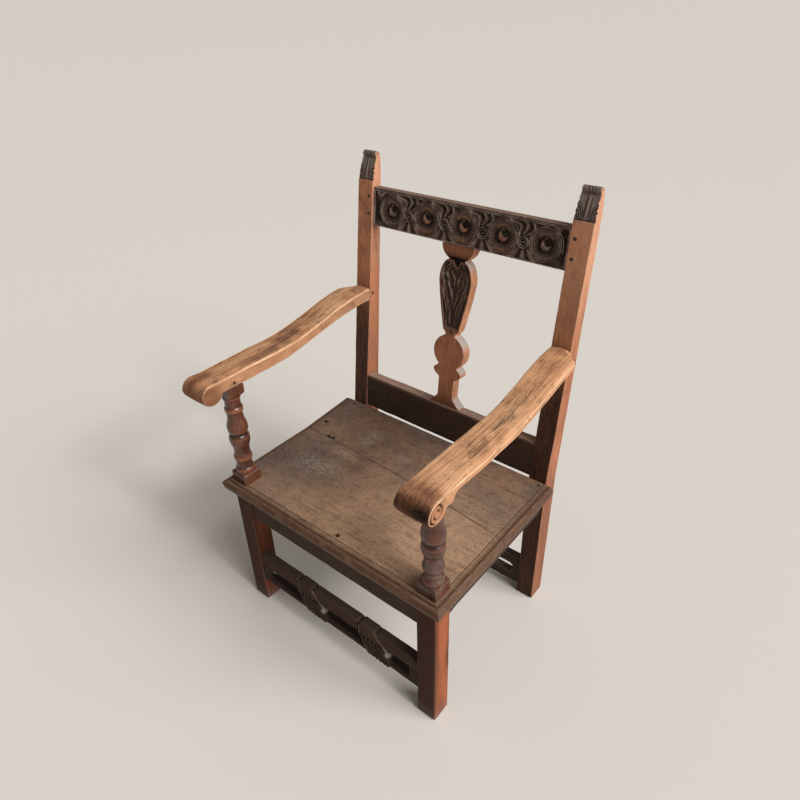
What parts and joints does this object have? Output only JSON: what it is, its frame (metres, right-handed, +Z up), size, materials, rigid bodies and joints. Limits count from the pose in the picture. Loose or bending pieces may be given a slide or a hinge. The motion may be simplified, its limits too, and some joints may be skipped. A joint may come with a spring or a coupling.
{
  "type": "armchair",
  "caption": "Joined wooden armchair with a moulded plank seat, turned arm supports, scrolled arms, a shaped splat and a carved crest rail",
  "frame": {"origin": "on the floor, under the middle of the chair", "axes": "+X to the right of someone who faces the chair, +Y from the front to the back, +Z up"},
  "size_m": [0.6569, 0.5863, 1.04],
  "materials": {
    "honey_wood": "worn wax over golden brown wood",
    "brown_wood": "waxed reddish brown wood",
    "dark_wood": "near-black waxed wood with worn edges",
    "turned_wood": "polished dark reddish brown wood",
    "seat_wood": "worn greyish brown wood",
    "peg_wood": "end grain, dark",
    "nail_iron": "dull dark iron"
  },
  "bodies": {
    "root": {"arm_left": "honey_wood", "arm_right": "honey_wood", "back_post_left": "brown_wood", "back_post_right": "brown_wood", "back_splat": "brown_wood", "crest_rail": "dark_wood", "lower_back_rail": "dark_wood", "front_post_left": "turned_wood", "front_post_right": "turned_wood", "front_stretcher": "dark_wood", "rear_stretcher": "dark_wood", "seat_board_front": "seat_wood", "seat_board_rear": "seat_wood", "seat_rail_front": "dark_wood", "seat_rail_left": "dark_wood", "seat_rail_right": "dark_wood", "arm_peg_left": "peg_wood", "arm_peg_right": "peg_wood", "support_peg_left": "peg_wood", "support_peg_right": "peg_wood", "crest_peg_left_upper": "peg_wood", "crest_peg_left_lower": "peg_wood", "crest_peg_right_upper": "peg_wood", "crest_peg_right_lower": "peg_wood", "lower_rail_peg_left": "peg_wood", "lower_rail_peg_right": "peg_wood", "stretcher_peg_left": "peg_wood", "stretcher_peg_right": "peg_wood", "seat_nail_left": "nail_iron", "seat_nail_right": "nail_iron"}
  },
  "joints": []
}
